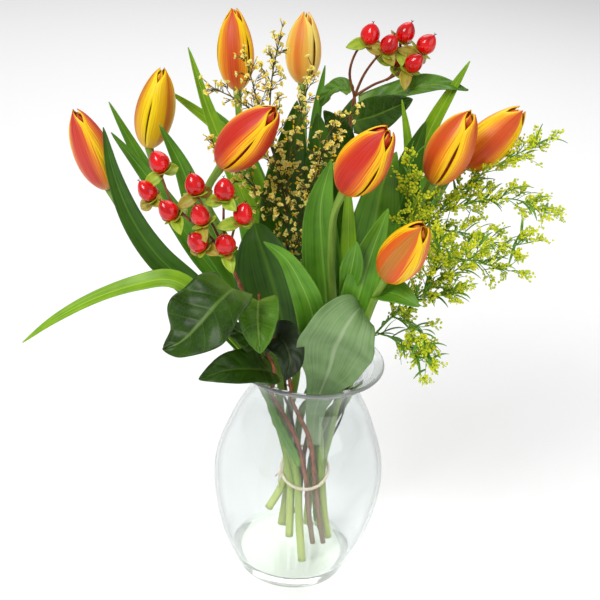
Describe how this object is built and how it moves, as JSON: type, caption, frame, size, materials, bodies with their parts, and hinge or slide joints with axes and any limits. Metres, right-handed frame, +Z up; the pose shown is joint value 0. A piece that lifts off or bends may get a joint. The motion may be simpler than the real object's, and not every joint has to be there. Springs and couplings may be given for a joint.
{
  "type": "tulips in a vase",
  "caption": "Hand-tied bouquet of tulips with red-berried hypericum, limonium and goldenrod, standing in a clear glass vase with a flared rim.",
  "frame": {"origin": "centre of the vase's flat underside", "axes": "+Z up along the vase's axis, -Y the bouquet's front, +X to the right seen from the front"},
  "size_m": [0.4449, 0.2539, 0.5206],
  "materials": {
    "clear_glass": "clear blown glass, faint green-grey",
    "twine": "twisted natural twine",
    "tulip_stem": "smooth fresh stem, paler at the cut foot",
    "tulip_petal": "satin petal, red and orange flames on yellow",
    "tulip_leaf": "waxy leaf with fine parallel veins",
    "hypericum_berry": "glossy red berry on a red-brown twig",
    "woody_stem": "thin red-brown bark",
    "hypericum_leaf": "dark leaf with netted veins",
    "limonium_floret": "papery cream florets on dark thin stems",
    "goldenrod_floret": "tiny yellow flower heads on green twigs"
  },
  "bodies": {
    "root": {"glass_vase": "clear_glass", "goldenrod_spray_lower": "goldenrod_floret", "goldenrod_spray_upper": "goldenrod_floret", "hypericum_leaf_front_dark": "hypericum_leaf", "hypericum_leaf_front_folded": "hypericum_leaf", "hypericum_leaf_front_large": "hypericum_leaf", "hypericum_leaf_front_low": "hypericum_leaf", "hypericum_leaf_front_narrow": "hypericum_leaf", "hypericum_leaf_top_broad": "hypericum_leaf", "hypericum_leaf_top_dark": "hypericum_leaf", "hypericum_leaf_top_long": "hypericum_leaf", "hypericum_leaf_top_small": "hypericum_leaf", "hypericum_spray_left": "hypericum_berry", "hypericum_spray_right": "hypericum_berry", "hypericum_stem_short": "woody_stem", "limonium_spray": "limonium_floret", "tulip_bloom_1": "tulip_petal", "tulip_bloom_2": "tulip_petal", "tulip_bloom_3": "tulip_petal", "tulip_bloom_4": "tulip_petal", "tulip_bloom_5": "tulip_petal", "tulip_bloom_6": "tulip_petal", "tulip_bloom_7": "tulip_petal", "tulip_bloom_8": "tulip_petal", "tulip_bloom_9": "tulip_petal", "tulip_leaf_back_left": "tulip_leaf", "tulip_leaf_back_middle": "tulip_leaf", "tulip_leaf_back_right": "tulip_leaf", "tulip_leaf_back_rolled": "tulip_leaf", "tulip_leaf_centre_dark": "tulip_leaf", "tulip_leaf_centre_slim": "tulip_leaf", "tulip_leaf_centre_tall": "tulip_leaf", "tulip_leaf_drooping": "tulip_leaf", "tulip_leaf_front_broad": "tulip_leaf", "tulip_leaf_front_curled": "tulip_leaf", "tulip_leaf_front_left": "tulip_leaf", "tulip_leaf_front_low": "tulip_leaf", "tulip_leaf_front_right": "tulip_leaf", "tulip_leaf_inner_left": "tulip_leaf", "tulip_leaf_inner_right": "tulip_leaf", "tulip_leaf_left_back": "tulip_leaf", "tulip_leaf_left_inner": "tulip_leaf", "tulip_leaf_left_long": "tulip_leaf", "tulip_leaf_left_middle": "tulip_leaf", "tulip_leaf_right_broad": "tulip_leaf", "tulip_leaf_right_middle": "tulip_leaf", "tulip_leaf_right_slim": "tulip_leaf", "tulip_leaf_right_tall": "tulip_leaf", "tulip_leaf_top_slim": "tulip_leaf", "tulip_leaf_upper_left": "tulip_leaf", "tulip_stem_1": "tulip_stem", "tulip_stem_2": "tulip_stem", "tulip_stem_3": "tulip_stem", "tulip_stem_4": "tulip_stem", "tulip_stem_5": "tulip_stem", "tulip_stem_6": "tulip_stem", "tulip_stem_7": "tulip_stem", "tulip_stem_8": "tulip_stem", "tulip_stem_9": "tulip_stem", "twine_tie": "twine"}
  },
  "joints": []
}
